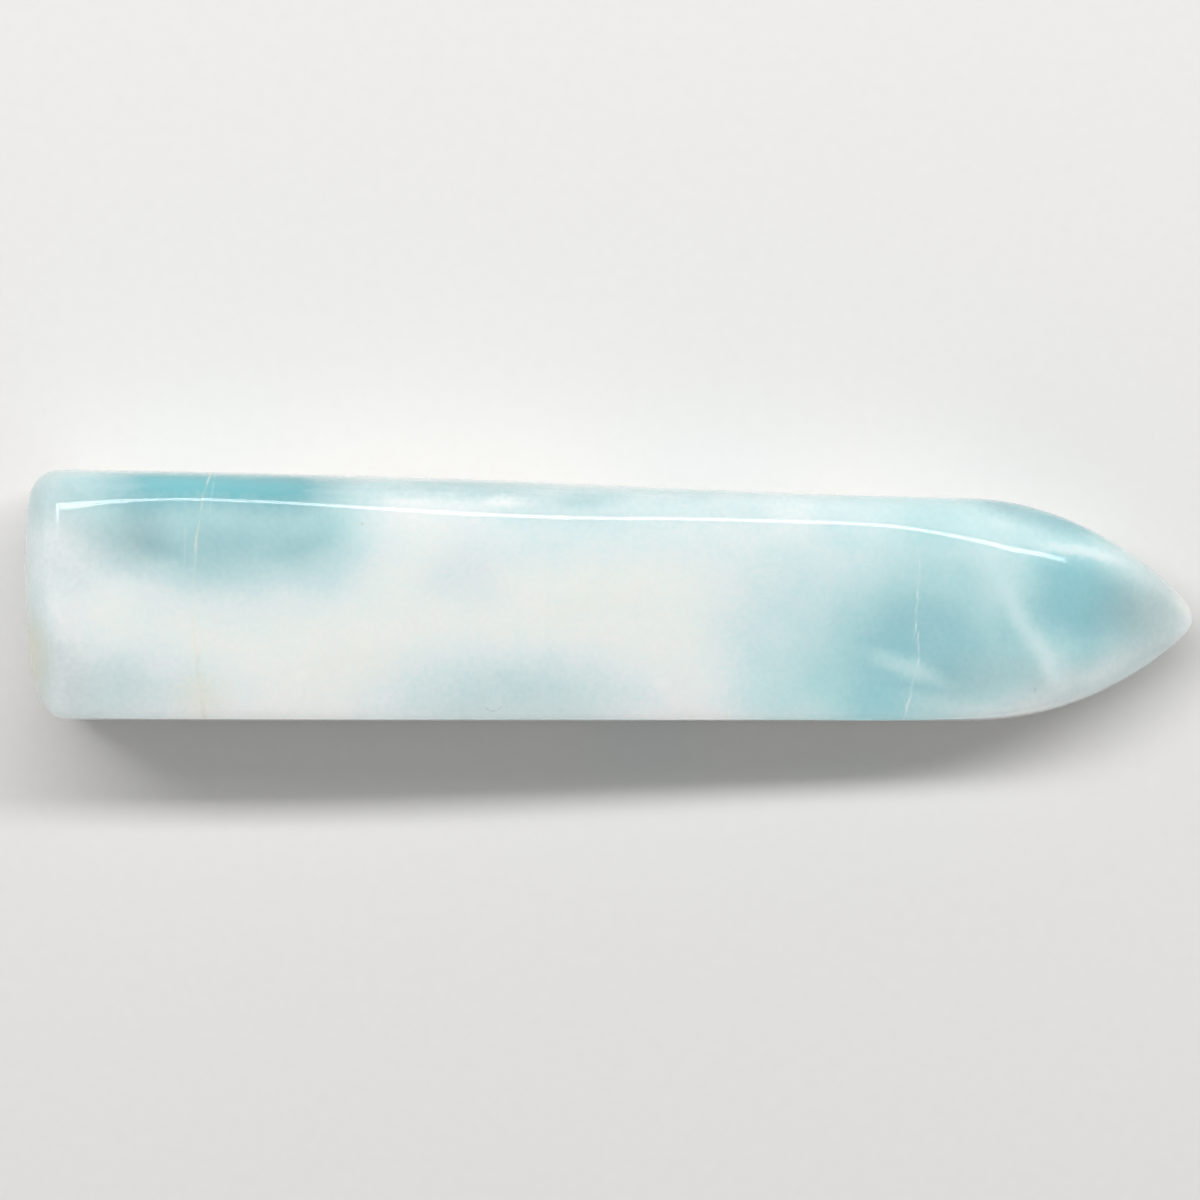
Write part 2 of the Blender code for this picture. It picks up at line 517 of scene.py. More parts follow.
BLUE_CLOUDS = (
    Cloud("butt pool", 0.47, (-32.2, 8.6, 19.1), (16.5, 9.6, 14.0), 0.0, 0.4),
    Cloud("butt pool left lobe", 0.14, (-40.8, 5.0, 19.1), (4.6, 5.4, 14.0)),
    Cloud("butt pool right lobe", 0.13, (-24.0, 1.9, 18.8), (4.4, 4.0, 14.0)),
    Cloud("butt pool left heart", 0.46, (-37.2, 9.5, 17.5), (8.4, 3.6, 6.5)),
    Cloud("butt pool right heart", 0.46, (-28.8, 9.3, 17.5), (7.4, 3.6, 6.5)),
    Cloud("butt pool tail", 0.17, (-31.5, 1.6, 19.1), (17.5, 6.3, 14.0)),
    Cloud("butt pool rim left", 0.12, (-37.9, 4.0, 19.1), (3.8, 1.5, 14.0), -17.0),
    Cloud("butt pool rim right", 0.12, (-26.5, 3.6, 19.0), (4.0, 1.6, 14.0), 14.0),
    Cloud("butt pool right end", 0.1, (-23.8, 5.4, 18.8), (2.6, 2.2, 14.0)),
    Cloud("far left band", 0.12, (-44.2, 9.1, 18.0), (4.2, 3.0, 8.0)),
    Cloud("left of the butt pool", 0.06, (-41.0, 5.0, 19.0), (5.0, 5.0, 14.0)),
    Cloud("butt haze", 0.2, (-47.9, 7.1, 17.5), (6.9, 15.0, 14.0), 0.0, 0.3),
    Cloud("butt near haze", 0.22, (-49.0, -4.5, 16.0), (3.8, 6.8, 12.0), 0.0, 0.2),
    Cloud("butt far corner", 0.26, (-48.3, 8.8, 17.0), (4.4, 4.5, 10.0)),
    Cloud("far haze", 0.32, (4.0, 10.7, 15.5), (64.2, 6.1, 14.0)),
    Cloud("far streak", 0.22, (-13.0, 9.0, 17.8), (10.5, 1.5, 14.0), 0.0, 0.2),
    Cloud("far lens", 0.18, (-1.9, 8.2, 16.7), (4.6, 1.2, 14.0)),
    Cloud("far white puff", -0.17, (-9.0, 7.9, 17.5), (3.2, 0.8, 6.0)),
    Cloud("centre haze", 0.16, (-5.5, 5.6, 17.1), (12.7, 5.2, 14.0)),
    Cloud("centre left wisp", 0.1, (-19.8, 4.2, 18.4), (5.0, 3.4, 14.0)),
    Cloud("middle smudge", 0.12, (-12.8, 1.6, 17.8), (7.0, 4.6, 14.0)),
    Cloud("right of centre", 0.13, (7.6, 5.9, 15.6), (13.5, 5.9, 14.0), 0.0, 0.2),
    Cloud("lower left", 0.29, (-46.0, -8.6, 19.3), (22.0, 7.6, 14.0)),
    Cloud("lower middle", 0.32, (-8.1, -9.5, 17.4), (20.2, 7.8, 14.0)),
    Cloud("right haze", 0.24, (21.0, -3.8, 14.1), (17.6, 12.7, 14.0), 0.0, 0.4),
    Cloud("right heart", 0.42, (27.0, -5.1, 13.6), (13.0, 9.7, 14.0), 0.0, 0.25),
    Cloud("right lower haze", 0.12, (15.6, -9.2, 14.7), (8.5, 6.4, 14.0), 0.0, 0.2),
    Cloud("upper right haze", 0.19, (31.0, 5.0, 13.4), (12.7, 5.1, 14.0), 0.0, 0.3),
    Cloud("far right haze", 0.2, (26.0, 8.4, 12.0), (14.7, 3.0, 8.0), 0.0, 0.2),
    Cloud("highlight haze", 0.16, (29.0, 5.4, 13.0), (7.5, 2.4, 14.0), -8.0, 0.2),
    Cloud("centre right haze", 0.12, (19.6, 5.8, 14.5), (5.0, 2.8, 14.0)),
    Cloud("near edge haze", 0.12, (22.0, -10.8, 13.5), (11.0, 1.6, 14.0)),
    Cloud("left of the stripe", 0.1, (31.0, 1.3, 13.0), (3.0, 3.2, 14.0)),
    Cloud("far rim of the butt pool", -0.16, (-33.5, 11.3, 17.0), (13.0, 1.6, 5.0)),
    Cloud("near rim of the right pool", 0.08, (13.0, -9.8, 15.0), (7.0, 2.8, 14.0)),
    Cloud("near patch", 0.16, (22.2, -9.8, 14.1), (4.6, 3.4, 14.0)),
    Cloud("near right haze", 0.2, (35.6, -8.0, 12.5), (6.4, 3.8, 14.0)),
    Cloud("wisp", -0.28, (25.2, -6.2, 13.8), (5.6, 1.3, 14.0), -20.0),
    Cloud("wisp foot", -0.12, (27.1, -8.9, 13.6), (5.1, 1.3, 14.0), -8.0),
    Cloud("point haze", 0.28, (42.2, -0.9, 10.4), (11.6, 11.1, 14.0), 0.0, 0.6),
    Cloud("tip pool", 0.46, (39.8, -0.2, 10.9), (6.3, 5.8, 12.0), -10.0, 0.25),
    Cloud("near tip haze", 0.1, (41.8, -3.9, 10.5), (5.5, 2.8, 12.0), 15.0),
    Cloud("tip haze", 0.2, (45.8, -1.4, 8.0), (5.0, 6.0, 9.0), 0.0, 0.2),
    Cloud("light stripe", -0.2, (35.6, -3.2, 12.2), (1.6, 6.5, 14.0), 30.0),
    Cloud("foot of the stripe", -0.14, (38.0, -6.8, 10.5), (2.6, 2.6, 14.0)),
    Cloud("far point haze", 0.08, (33.5, 6.2, 11.5), (4.5, 2.0, 9.0), -15.0),
    Cloud("near point haze", 0.14, (40.0, -5.6, 9.5), (3.4, 1.8, 12.0), 20.0),
    Cloud("far point patch", 0.55, (36.2, 7.5, 8.0), (10.5, 2.6, 9.0), -20.0, 0.2),
    Cloud("far point streak", -0.3, (39.8, 3.7, 11.4), (5.6, 0.8, 14.0), -10.0),
    Cloud("far side pool", 0.4, (9.0, 10.0, 4.5), (15.0, 7.0, 5.5), 0.0, 0.2),
    Cloud("far side white", -0.2, (-10.0, 11.0, 8.5), (9.0, 6.0, 3.0), 0.0, 0.2),
    Cloud("far side left haze", 0.3, (-36.0, 11.0, 5.0), (14.0, 6.0, 4.5), 0.0, 0.3),
    Cloud("far side right haze", 0.3, (30.0, 8.0, 4.0), (12.0, 6.0, 4.0), 0.0, 0.3),
    Cloud("near side pool", 0.3, (3.0, -11.0, 4.0), (9.0, 5.0, 5.0), 0.0, 0.2),
    Cloud("butt face pool", 0.3, (-50.0, 2.0, 7.0), (5.0, 6.0, 5.0)),
    Cloud("underside left pool", 0.55, (-19.0, 2.5, 0.0), (14.0, 6.5, 6.0), 14.0, 0.35),
    Cloud("underside right pool", 0.45, (25.0, -1.0, 0.0), (11.0, 8.0, 6.0), -10.0, 0.3),
    Cloud("underside haze", 0.14, (4.0, -4.0, 0.0), (26.0, 7.0, 5.0), -6.0, 0.3),
)

GREY_CLOUDS = (
    Cloud("far haze", 0.6, (-0.9, 11.2, 16.5), (76.0, 6.8, 14.0), 0.0, 0.3),
    Cloud("butt haze", 0.6, (-48.8, -0.4, 19.3), (7.6, 16.8, 22.0), 0.0, 0.4),
    Cloud("lower left", 0.6, (-46.3, -10.1, 19.3), (20.2, 9.2, 14.0), 0.0, 0.3),
    Cloud("lower middle", 0.45, (-7.6, -10.5, 17.3), (20.2, 8.4, 14.0), 0.0, 0.2),
    Cloud("lower right", 0.35, (33.1, -8.9, 12.8), (11.0, 5.9, 14.0), 0.0, 0.2),
    Cloud("butt pool", 0.2, (-33.0, 3.4, 19.0), (17.0, 6.5, 14.0), 0.0, 0.4),
    Cloud("butt pool hearts", -0.1, (-33.0, 9.5, 17.5), (13.0, 4.6, 9.0)),
    Cloud("left of the butt pool", 0.3, (-41.5, 5.0, 19.0), (7.0, 6.5, 14.0)),
    Cloud("middle smudge", 0.3, (-12.8, 1.6, 17.8), (7.5, 5.0, 14.0)),
    Cloud("far point", 0.35, (36.0, 7.5, 8.0), (10.0, 3.0, 9.0), -20.0, 0.3),
    Cloud("tip", 0.95, (50.7, -1.3, 6.0), (13.2, 11.4, 14.0), 0.0, 0.25),
    Cloud("near point", 0.5, (40.9, -8.1, 10.7), (10.2, 4.3, 14.0), 20.0, 0.2),
    Cloud("underside", 0.3, (-30.0, 0.0, 0.0), (18.0, 12.0, 5.0), 0.0, 0.2),
)

SEAMS = (
    Seam("cream vein", Stain.CREAM, (-35.05, 0.4, 19.2), -0.9, 0.0108, 0.13, 13.0, 0.5, 0.45),
    Seam("ochre end of the vein", Stain.OCHRE, (-34.4, -8.6, 19.0), 3.0, 0.0, 0.3, 4.5, 0.9, 0.2),
    Seam("pale stretch of the vein", Stain.CHALK, (-35.0, 1.6, 19.2), -1.0, 0.01, 0.2, 4.4, 0.5, 0.22),
    Seam("left companion", Stain.DUST, (-35.8, 3.7, 19.2), -2.0, 0.0, 0.18, 2.6, 0.2, 0.35),
    Seam("right companion", Stain.ICE, (-33.5, 9.0, 17.5), -4.0, 0.0, 0.16, 2.6, 0.2, 0.2),
    Seam("upper crack", Stain.CHALK, (26.0, -0.3, 13.8), -4.9, 0.0, 0.16, 3.9, 0.7, 0.6),
    Seam("middle crack", Stain.CHALK, (26.1, -4.7, 13.8), 2.0, 0.0, 0.15, 1.8, 0.7, 0.55),
    Seam("lower crack", Stain.CHALK, (25.5, -8.0, 13.8), -15.4, 0.0, 0.16, 3.3, 0.7, 0.55),
    Seam("arched streak", Stain.ICE, (38.9, 4.0, 10.5), 90.0, -0.05, 0.5, 5.4, 0.2, 0.6),
    Seam("soft stripe", Stain.ICE, (34.5, -1.2, 13.0), 30.0, 0.006, 1.0, 9.0, 0.3, 0.4),
)

# Where the painted streaky reflection of the room shows along the far edge, and how strongly
STREAKY_REFLECTION = Cloud("reflection_streaks", 0.2, (-14.0, 10.4, 16.5), (42.0, 3.4, 9.0), 0.0, 0.6)

STAINS = (
    (Stain.CHALK, Cloud("left white spot", 0.5, (-26.1, -6.8, 19.0), (1.0, 0.6, 2.0), 10.0)),
    (Stain.CHALK, Cloud("right white spot", 0.5, (4.2, -7.4, 16.3), (1.2, 0.8, 2.0), -15.0)),
    (Stain.CREAM, Cloud("warm left cloud", 0.1, (-23.0, -6.5, 18.8), (9.0, 4.0, 6.0), 12.0, 0.2)),
    (Stain.CREAM, Cloud("warm middle cloud", 0.06, (-1.5, -0.6, 16.5), (8.0, 3.0, 6.0), 14.0, 0.2)),
    (Stain.CREAM, Cloud("warm end of the vein", 0.2, (-34.2, -8.4, 18.9), (3.8, 3.6, 6.0), 0.0, 0.1)),
    (Stain.OCHRE, Cloud("darker end of the vein", 0.08, (-34.3, -8.8, 18.9), (3.4, 2.8, 6.0), 0.0, 0.1)),
    (Stain.CREAM, Cloud("stain on the butt", 0.5, (-48.2, -5.2, 13.0), (2.6, 5.6, 10.0), 0.0, 0.2)),
    (Stain.OCHRE, Cloud("darker stain on the butt", 0.14, (-48.9, -4.8, 12.0), (1.8, 4.6, 9.0), 0.0, 0.3)),
    (Stain.CREAM, Cloud("warm tip", 0.35, (49.4, 0.3, 6.0), (2.0, 2.8, 5.0), 0.0, 0.1)),
)

MARKS = (
    (Stain.OCHRE, Cloud("pit", 0.5, (-20.9, 6.0, 18.5), (0.2, 0.13, 1.0), 30.0, 0.2)),
    (Stain.SMOKE, Cloud("dark fleck", 0.4, (36.1, -8.1, 12.3), (0.12, 0.4, 1.0), -10.0, 0.2)),
    (Stain.SMOKE, Cloud("bottom of the scratch", 0.5, (-9.9, -9.78, 17.8), (0.42, 0.09, 1.0), 3.0, 0.2)),
    (Stain.SMOKE, Cloud("left end of the scratch", 0.45, (-10.4, -9.6, 17.8), (0.4, 0.09, 1.0), -36.0, 0.2)),
    (Stain.SMOKE, Cloud("right end of the scratch", 0.4, (-9.4, -9.6, 17.8), (0.4, 0.09, 1.0), 38.0, 0.2)),
)


class NodeSheet:
    """Adds nodes to one node tree."""

    def __init__(self, tree: bpy.types.NodeTree) -> None:
        """Keeps the tree that the nodes go into."""
        self.tree = tree

    def add(self, kind: str, inputs: dict[Any, Any] | None = None, **settings: Any) -> bpy.types.Node:
        """Adds a node.

        Args:
            kind: The node's type.
            inputs: A value or another node's output for each input named or numbered here.
            **settings: The node's own settings.

        Returns:
            The new node.
        """
        node = self.tree.nodes.new(kind)
        for name, value in settings.items():
            setattr(node, name, value)
        for key, value in (inputs or {}).items():
            if isinstance(value, bpy.types.NodeSocket):
                self.tree.links.new(value, node.inputs[key])
            else:
                node.inputs[key].default_value = value
        return node

    def placed(self, group: bpy.types.NodeTree, label: str, inputs: dict[str, Any]) -> bpy.types.Node:
        """Places a node group.

        Args:
            group: The group's node tree.
            label: What this use of it is.
            inputs: A value or another node's output for each input.

        Returns:
            The group node.
        """
        return self.add("ShaderNodeGroup", inputs, node_tree=group, label=label)

    def maths(self, operation: str, *values: Any) -> bpy.types.NodeSocket:
        """Adds a Math node and returns its result."""
        return self.add("ShaderNodeMath", dict(enumerate(values)), operation=operation).outputs[0]

    def vector(self, operation: str, *values: Any) -> bpy.types.NodeSocket:
        """Adds a Vector Math node and returns its vector."""
        return self.add("ShaderNodeVectorMath", dict(enumerate(values)), operation=operation).outputs[0]

    def eased(self, value: Any, start: Any, end: Any, low: Any, high: Any) -> bpy.types.NodeSocket:
        """Eases smoothly from one value to another.

        Args:
            value: What is read.
            start: Where the easing starts.
            end: Where it ends.
            low: Result at the start.
            high: Result at the end.

        Returns:
            The eased value.
        """
        inputs = {"Value": value, "From Min": start, "From Max": end, "To Min": low, "To Max": high}
        node = self.add("ShaderNodeMapRange", inputs, interpolation_type="SMOOTHSTEP")
        return node.outputs["Result"]

    def noise(
        self, vector: Any, scale: float, detail: float = 2.0, output: str = "Fac"
    ) -> bpy.types.NodeSocket:
        """Adds a noise texture.

        Args:
            vector: Where it is read.
            scale: How many of its features there are to a millimetre.
            detail: How many finer layers it has.
            output: Which output is wanted.

        Returns:
            The output.
        """
        inputs = {"Vector": vector, "Scale": scale, "Detail": detail}
        return self.add("ShaderNodeTexNoise", inputs).outputs[output]

    def mixed(self, factor: Any, first: Any, second: Any) -> bpy.types.NodeSocket:
        """Mixes two colours.

        Args:
            factor: Share of the second colour.
            first: The first colour.
            second: The second colour.

        Returns:
            The mixed colour.
        """
        node = self.add("ShaderNodeMix", {"Factor": factor}, data_type="RGBA")
        colours = [socket for socket in node.inputs if socket.type == "RGBA"]
        for socket, colour in zip(colours, (first, second)):
            if isinstance(colour, bpy.types.NodeSocket):
                self.tree.links.new(colour, socket)
            else:
                socket.default_value = colour
        return next(socket for socket in node.outputs if socket.type == "RGBA")


class NodeGroup(NodeSheet):
    """A shader node group that is built once and used many times."""

    def __init__(self, name: str, takes: dict[str, str], gives: dict[str, str]) -> None:
        """Makes the empty group.

        Args:
            name: The group's name.
            takes: Type of socket for each input.
            gives: Type of socket for each output.
        """
        super().__init__(bpy.data.node_groups.new(name, "ShaderNodeTree"))
        for names, direction in ((takes, "INPUT"), (gives, "OUTPUT")):
            for socket, kind in names.items():
                self.tree.interface.new_socket(socket, in_out=direction, socket_type=f"NodeSocket{kind}")
        self.taken = self.add("NodeGroupInput").outputs
        self.given = self.add("NodeGroupOutput").inputs

    def give(self, name: str, value: bpy.types.NodeSocket) -> None:
        """Sends a value out of the group."""
        self.tree.links.new(value, self.given[name])


def own_place_group() -> bpy.types.NodeTree:
    """Builds the group that reads a place from a shape's own middle, along its own axes, in its own reaches.

    Returns:
        The group's node tree.
    """
    takes = dict.fromkeys(("Place", "Centre", "Turn", "Reach"), "Vector")
    group = NodeGroup("own_place", takes, {"Own Place": "Vector"})
    inputs = {
        "Vector": group.taken["Place"],
        "Location": group.taken["Centre"],
        "Rotation": group.taken["Turn"],
        "Scale": group.taken["Reach"],
    }
    group.give("Own Place", group.add("ShaderNodeMapping", inputs, vector_type="TEXTURE").outputs["Vector"])
    return group.tree


def soft_cloud_group(own_place: bpy.types.NodeTree) -> bpy.types.NodeTree:
    """Builds the group that tells how strong a soft-edged cloud is at a place.

    Args:
        own_place: The group that reads a place from the cloud's own middle.

    Returns:
        The group's node tree.
    """
    takes = dict.fromkeys(("Place", "Centre", "Turn", "Reach"), "Vector")
    takes |= dict.fromkeys(("Core", "Strength"), "Float")
    group = NodeGroup("soft_cloud", takes, {"Share": "Float"})
    taken = group.taken
    inputs = {name: taken[name] for name in ("Place", "Centre", "Turn", "Reach")}
    own = group.placed(own_place, "own place", inputs).outputs["Own Place"]
    distance = group.add("ShaderNodeVectorMath", {0: own}, operation="LENGTH").outputs["Value"]
    group.give("Share", group.eased(distance, taken["Core"], 1.0, taken["Strength"], 0.0))
    return group.tree


def seam_group(own_place: bpy.types.NodeTree) -> bpy.types.NodeTree:
    """Builds the group that tells how strong a thin seam through the stone is at a place.

    Args:
        own_place: The group that reads a place from the seam's own middle.

    Returns:
        The group's node tree.
    """
    takes = dict.fromkeys(("Place", "Centre", "Turn"), "Vector")
    takes |= dict.fromkeys(("Bow", "Half Width", "Reach", "Stray", "Wander", "Strength"), "Float")
    group = NodeGroup("thin_seam", takes, {"Share": "Float"})
    taken = group.taken
    inputs = {name: taken[name] for name in ("Place", "Centre", "Turn")}
    own = group.placed(own_place, "own place", inputs | {"Reach": (1.0, 1.0, 1.0)}).outputs["Own Place"]
    across, along, _ = group.add("ShaderNodeSeparateXYZ", {0: own}).outputs
    across = group.maths("MULTIPLY_ADD", taken["Stray"], taken["Wander"], across)
    bowed = group.maths("MULTIPLY", group.maths("MULTIPLY", along, along), taken["Bow"])
    distance = group.maths("ABSOLUTE", group.maths("SUBTRACT", across, bowed))
    share = group.eased(distance, 0.0, taken["Half Width"], taken["Strength"], 0.0)
    fading = group.maths("MULTIPLY", taken["Reach"], SEAM_FADES_FROM)
    ends = group.eased(group.maths("ABSOLUTE", along), fading, taken["Reach"], 1.0, 0.0)
    group.give("Share", group.maths("MULTIPLY", share, ends))
    return group.tree


@dataclass(frozen=True)
class CloudReader:
    """Reads clouds in one material.

    Attributes:
        sheet: The material's nodes.
        group: The group that tells how strong a cloud is.
    """

    sheet: NodeSheet
    group: bpy.types.NodeTree

    def share(self, place: bpy.types.NodeSocket, cloud: Cloud) -> bpy.types.NodeSocket:
        """Reads one cloud.

        Args:
            place: Where it is read.
            cloud: The cloud.

        Returns:
            Its strength at the place.
        """
        inputs = {
            "Place": place,
            "Centre": cloud.centre,
            "Turn": (0.0, 0.0, math.radians(cloud.turn)),
            "Reach": cloud.reach,
            "Core": cloud.core,
            "Strength": cloud.strength,
        }
        return self.sheet.placed(self.group, cloud.name, inputs).outputs["Share"]

    def summed(
        self, place: bpy.types.NodeSocket, ground: Any, clouds: tuple[Cloud, ...]
    ) -> bpy.types.NodeSocket:
        """Adds up clouds.

        Args:
            place: Where they are read.
            ground: What they are added to.
            clouds: The clouds.

        Returns:
            The sum.
        """
        for cloud in clouds:
            ground = self.sheet.maths("ADD", ground, self.share(place, cloud))
        return ground

    def marked(
        self,
        place: bpy.types.NodeSocket,
        marks: tuple[tuple[Stain, Cloud], ...],
        colour: bpy.types.NodeSocket,
    ) -> bpy.types.NodeSocket:
        """Adds stains or small marks.

        Args:
            place: Where they are read.
            marks: Their colours and shapes.
            colour: The colour below.

        Returns:
            The colour.
        """
        for stain, cloud in marks:
            colour = self.sheet.mixed(self.share(place, cloud), colour, stain.rgba())
        return colour


@dataclass(frozen=True)
class Larimar:
    """Polished blue and white pectolite.

    Attributes:
        ground: Blueness of the white stone between the clouds.
        drift: How far slow noise bends the clouds' outlines.
        drift_scale: Features of that noise to a millimetre.
        fray: How far fine noise frays their edges.
        fray_scale: Features of that noise to a millimetre.
        mottle: How much slow and fine noise change the blueness.
        mottle_scale: Features of those two noises to a millimetre.
        streak_scale: Features to a millimetre, on X, Y and Z, of the painted streaky reflection of the room
            along the far edge.
        grey_loss: How much of its blue the greyest stone loses.
        gloss: Roughness of the polish, where it is best and where it is hazy.
        gloss_scale: Features to a millimetre of the noise that makes it hazy.
        gloss_bounds: Values of that noise where the haze starts and where it is full.
        refraction: Index of refraction.
        shine: Strength of the reflections, where 0.5 is that of the index of refraction.
        light_depth: How far light travels inside the stone, in millimetres.
        light_spread: Share of that for red, green and blue.
    """

    ground: float = 0.03
    drift: float = 1.2
    drift_scale: float = 0.12
    fray: float = 0.8
    fray_scale: float = 1.4
    mottle: tuple[float, float] = (0.14, 0.18)
    mottle_scale: tuple[float, float] = (0.35, 2.2)
    streak_scale: Triple = (0.12, 2.6, 2.6)
    grey_loss: float = 0.7
    gloss: tuple[float, float] = (0.04, 0.09)
    gloss_scale: float = 0.3
    gloss_bounds: tuple[float, float] = (0.4, 0.7)
    refraction: float = 1.6
    shine: float = 0.22
    light_depth: float = 10.0
    light_spread: Triple = (0.8, 1.0, 1.0)

    def material(self) -> bpy.types.Material:
        """Builds the material.

        Returns:
            The material.
        """
        material = bpy.data.materials.new("polished_larimar")
        material.use_nodes = True
        sheet = NodeSheet(material.node_tree)
        shader = material.node_tree.nodes["Principled BSDF"]
        metres = sheet.add("ShaderNodeTexCoord").outputs["Object"]
        place = sheet.vector("MULTIPLY", metres, (1 / METRES_PER_MM,) * 3)
        bent = self.bent(sheet, place)
        own_place = own_place_group()
        reader = CloudReader(sheet, soft_cloud_group(own_place))
        blueness = reader.summed(bent, self.mottle_and_reflection(reader, place), BLUE_CLOUDS)
        greyness = reader.summed(bent, 0.0, GREY_CLOUDS)
        colour = self.toned(sheet, blueness, greyness)
        colour = self.seams(sheet, seam_group(own_place), place, colour)
        colour = reader.marked(bent, STAINS, colour)
        colour = reader.marked(place, MARKS, colour)
        links = material.node_tree.links
        links.new(colour, shader.inputs["Base Color"])
        haze = sheet.noise(place, self.gloss_scale, FINE_LAYERS)
        links.new(sheet.eased(haze, *self.gloss_bounds, *self.gloss), shader.inputs["Roughness"])
        shader.inputs["IOR"].default_value = self.refraction
        shader.inputs["Specular IOR Level"].default_value = self.shine
        shader.inputs["Subsurface Weight"].default_value = 1.0
        shader.inputs["Subsurface Radius"].default_value = self.light_spread
        shader.inputs["Subsurface Scale"].default_value = self.light_depth * METRES_PER_MM
        return material

    def bent(self, sheet: NodeSheet, place: bpy.types.NodeSocket) -> bpy.types.NodeSocket:
        """Bends the places that the clouds are read at.

        Args:
            sheet: The material's nodes.
            place: The true place.

        Returns:
            The bent place.
        """
        slow = sheet.noise(place, self.drift_scale, 1.0, "Color")
        fine = sheet.noise(place, self.fray_scale, FINE_LAYERS, "Color")
        for noise, distance in ((slow, self.drift), (fine, self.fray)):
            change = sheet.vector("SUBTRACT", noise, (NOISE_MIDDLE,) * 3)
            place = sheet.vector("MULTIPLY_ADD", change, (distance,) * 3, place)
        return place

    def mottle_and_reflection(self, reader: CloudReader, place: bpy.types.NodeSocket) -> bpy.types.NodeSocket:
        """Varies the blueness of the ground, and paints a streaky reflection of the room along the far edge.

        Args:
            reader: What reads the cloud where the painted reflection shows.
            place: The true place.

        Returns:
            The blueness before the clouds, with the painted reflection included.
        """
        sheet = reader.sheet
        blueness = self.ground
        for scale, amount in zip(self.mottle_scale, self.mottle):
            change = sheet.maths("SUBTRACT", sheet.noise(place, scale, FINE_LAYERS), NOISE_MIDDLE)
            blueness = sheet.maths("MULTIPLY_ADD", change, amount, blueness)
        # Painted reflection: fine lines drawn out along X by the far edge, by turns lighter and bluer
        drawn_out = sheet.vector("MULTIPLY", place, self.streak_scale)
        reflection_streaks = sheet.maths("SUBTRACT", sheet.noise(drawn_out, 1.0), NOISE_MIDDLE)
        return sheet.maths("MULTIPLY_ADD", reflection_streaks, reader.share(place, STREAKY_REFLECTION), blueness)

    def toned(
        self, sheet: NodeSheet, blueness: bpy.types.NodeSocket, greyness: bpy.types.NodeSocket
    ) -> bpy.types.NodeSocket:
        """Turns blueness and greyness into a colour.

        Args:
            sheet: The material's nodes.
            blueness: From 0, white, to 1, deepest blue.
            greyness: From 0, clear, to 1, greyest.

        Returns:
            The colour.
        """
        node = sheet.add("ShaderNodeValToRGB", {"Fac": blueness})
        elements = node.color_ramp.elements
        elements.remove(elements[1])
        for tone in Tone:
            depth, colour = tone.value
            element = elements[0] if depth == 0.0 else elements.new(depth)
            element.color = (*colour, 1.0)
        clear = node.outputs["Color"]
        red = sheet.add("ShaderNodeSeparateColor", {0: clear}).outputs["Red"]
        grey = sheet.add("ShaderNodeCombineColor", {0: red, 1: red, 2: red}).outputs[0]
        loss = sheet.maths("MULTIPLY", sheet.maths("MINIMUM", greyness, 1.0), self.grey_loss)
        return sheet.mixed(loss, clear, grey)

    def seams(
        self,
        sheet: NodeSheet,
        group: bpy.types.NodeTree,
        place: bpy.types.NodeSocket,
        colour: bpy.types.NodeSocket,
    ) -> bpy.types.NodeSocket:
        """Draws the thin seams over the clouds.

        Args:
            sheet: The material's nodes.
            group: The group that reads one seam.
            place: The true place.
            colour: The colour below.

        Returns:
            The colour.
        """
        stray = sheet.maths("SUBTRACT", sheet.noise(place, SEAM_STRAY_SCALE, FINE_LAYERS), NOISE_MIDDLE)
        gaps = sheet.eased(sheet.noise(place, SEAM_GAP_SCALE), *SEAM_GAP_BOUNDS, SEAM_LEFT_IN_GAPS, 1.0)
        for seam in SEAMS:
            inputs = {
                "Place": place,
                "Centre": seam.centre,
                "Turn": (0.0, 0.0, math.radians(seam.turn)),
                "Bow": seam.bow,
                "Half Width": seam.half_width,
                "Reach": seam.reach,
                "Stray": stray,
                "Wander": seam.wander,
                "Strength": seam.strength,
            }
            share = sheet.maths("MULTIPLY", sheet.placed(group, seam.name, inputs).outputs["Share"], gaps)
            colour = sheet.mixed(share, colour, seam.stain.rgba())
        return colour


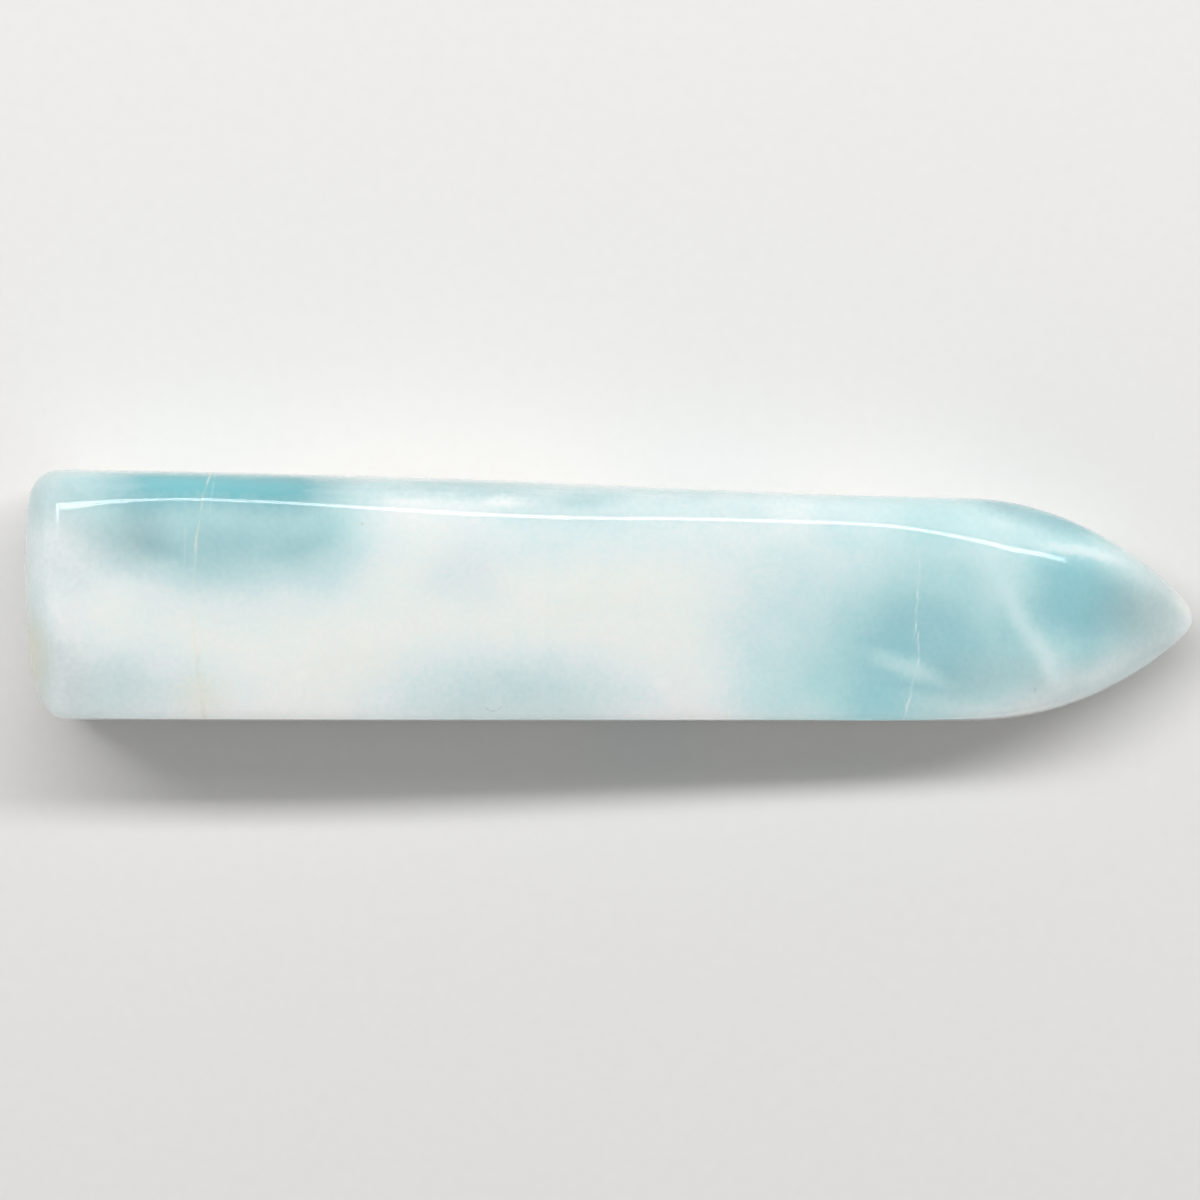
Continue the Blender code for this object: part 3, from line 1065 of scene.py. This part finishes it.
@dataclass
class Studio:
    """A plain pale floor, two lights on the far side, weak light from all round, and the camera.

    Attributes:
        floor_side: Side of the floor, in metres.
        floor_tints: Darkest and lightest colour of its grain.
        floor_grain: How many features of the grain there are to a metre.
        floor_roughness: How dull it is.
        light_distance: From the stone to both lights, in metres.
        light_slant: Angle of the strip light from straight above, towards +Y, in degrees.
        light_size: Length and width of the strip light, in metres.
        light_shift: How far the strip light's middle is towards the point, in metres.
        light_power: Power of the strip light, in watts.
        end_slant: Angle of the small light beside the strip light's end, from straight above, in degrees.
        end_size: Length and width of the small light, in metres.
        end_shift: How far the small light is towards the point, in metres.
        end_power: Power of the small light, in watts.
        room_light: Strength of the light from overhead, and how much stronger it is at the horizon.
        frame_width: Width of what the camera sees at the stone's middle height, in millimetres.
        frame_centre: Middle of what the camera sees, in millimetres.
        lens: Focal length of the camera, in millimetres.
        sensor: Width of its sensor, in millimetres.
    """

    floor_side: float = 4.0
    floor_tints: tuple[Triple, Triple] = ((0.785, 0.775, 0.76), (0.815, 0.805, 0.79))
    floor_grain: float = 900.0
    floor_roughness: float = 0.8
    light_distance: float = 0.4
    light_slant: float = 22.8
    light_size: tuple[float, float] = (0.70, 0.052)
    light_shift: float = 0.028
    light_power: float = 1.54
    end_slant: float = 16.0
    end_size: tuple[float, float] = (0.13, 0.04)
    end_shift: float = -0.235
    end_power: float = 0.14
    room_light: tuple[float, float] = (0.12, 1.3)
    frame_width: float = 102.84
    frame_centre: Triple = (-0.9, -0.43, 8.0)
    lens: float = 200.0
    sensor: float = 36.0

    def build(self) -> None:
        """Builds the floor, the lights and the camera."""
        self.floor()
        self.lights()
        self.surroundings()
        self.camera()

    def floor(self) -> None:
        """Lays the floor."""
        bm = bmesh.new()
        bmesh.ops.create_grid(bm, x_segments=1, y_segments=1, size=self.floor_side / 2)
        mesh = bpy.data.meshes.new("studio_floor")
        bm.to_mesh(mesh)
        bm.free()
        floor = bpy.data.objects.new("studio_floor", mesh)
        bpy.context.scene.collection.objects.link(floor)
        material = bpy.data.materials.new("pale_floor")
        material.use_nodes = True
        shader = material.node_tree.nodes["Principled BSDF"]
        sheet = NodeSheet(material.node_tree)
        place = sheet.add("ShaderNodeTexCoord").outputs["Object"]
        grain = sheet.noise(place, self.floor_grain, FINE_LAYERS)
        dark, light = self.floor_tints
        tint = sheet.mixed(grain, (*dark, 1.0), (*light, 1.0))
        material.node_tree.links.new(tint, shader.inputs["Base Color"])
        shader.inputs["Roughness"].default_value = self.floor_roughness
        mesh.materials.append(material)

    def lights(self) -> None:
        """Hangs the strip light and the small light beside its end."""
        self.hang("strip_light", self.light_size, self.light_power, self.light_slant, self.light_shift)
        self.hang("end_light", self.end_size, self.end_power, self.end_slant, self.end_shift)

    def hang(self, name: str, size: tuple[float, float], power: float, slant: float, shift: float) -> None:
        """Hangs a light.

        Args:
            name: The light's name.
            size: Its length and width, in metres.
            power: Its power, in watts.
            slant: Its angle from straight above, towards +Y, in degrees.
            shift: How far it is towards the point, in metres.
        """
        data = bpy.data.lights.new(name, "AREA")
        data.shape = "RECTANGLE"
        data.size, data.size_y = size
        data.energy = power
        lamp = bpy.data.objects.new(name, data)
        angle = math.radians(slant)
        height, away = self.light_distance * math.cos(angle), self.light_distance * math.sin(angle)
        lamp.location = (shift, away, height)
        lamp.rotation_euler = (-angle, 0.0, 0.0)
        lamp.visible_camera = False
        bpy.context.scene.collection.objects.link(lamp)

    def surroundings(self) -> None:
        """Sets the weak light from all round, which is strongest near the horizon."""
        world = bpy.data.worlds.new("soft_room")
        world.use_nodes = True
        background = world.node_tree.nodes["Background"]
        background.inputs["Color"].default_value = (1.0, 1.0, 1.0, 1.0)
        sheet = NodeSheet(world.node_tree)
        direction = sheet.add("ShaderNodeTexCoord").outputs["Generated"]
        height = sheet.add("ShaderNodeSeparateXYZ", {0: direction}).outputs["Z"]
        low = sheet.maths("SUBTRACT", 1.0, sheet.maths("MAXIMUM", height, 0.0))
        overhead, more_at_horizon = self.room_light
        strength = sheet.maths("MULTIPLY_ADD", sheet.maths("MULTIPLY", low, low), more_at_horizon, overhead)
        world.node_tree.links.new(strength, background.inputs["Strength"])
        bpy.context.scene.world = world

    def camera(self) -> None:
        """Sets the camera straight above the stone, and the plain view of its colours."""
        data = bpy.data.cameras.new("camera")
        data.lens = self.lens
        data.sensor_width = self.sensor
        camera = bpy.data.objects.new("camera", data)
        distance = self.frame_width * self.lens / self.sensor
        centre = Vector(self.frame_centre) * METRES_PER_MM
        camera.location = centre + Vector((0.0, 0.0, distance * METRES_PER_MM))
        bpy.context.scene.collection.objects.link(camera)
        bpy.context.scene.camera = camera
        bpy.context.scene.view_settings.view_transform = "Standard"


def main() -> None:
    """Builds the stone and the studio, and reports each piece."""
    logging.basicConfig(level=logging.INFO, format="%(message)s")
    wand = Wand()
    stone = wand.build()
    wand.dress(stone, Larimar())
    log.info("stone: %d faces", len(stone.data.polygons))
    Studio().build()
    log.info("studio: floor, strip light, end light, soft room light and camera")


if __name__ == "__main__":
    main()
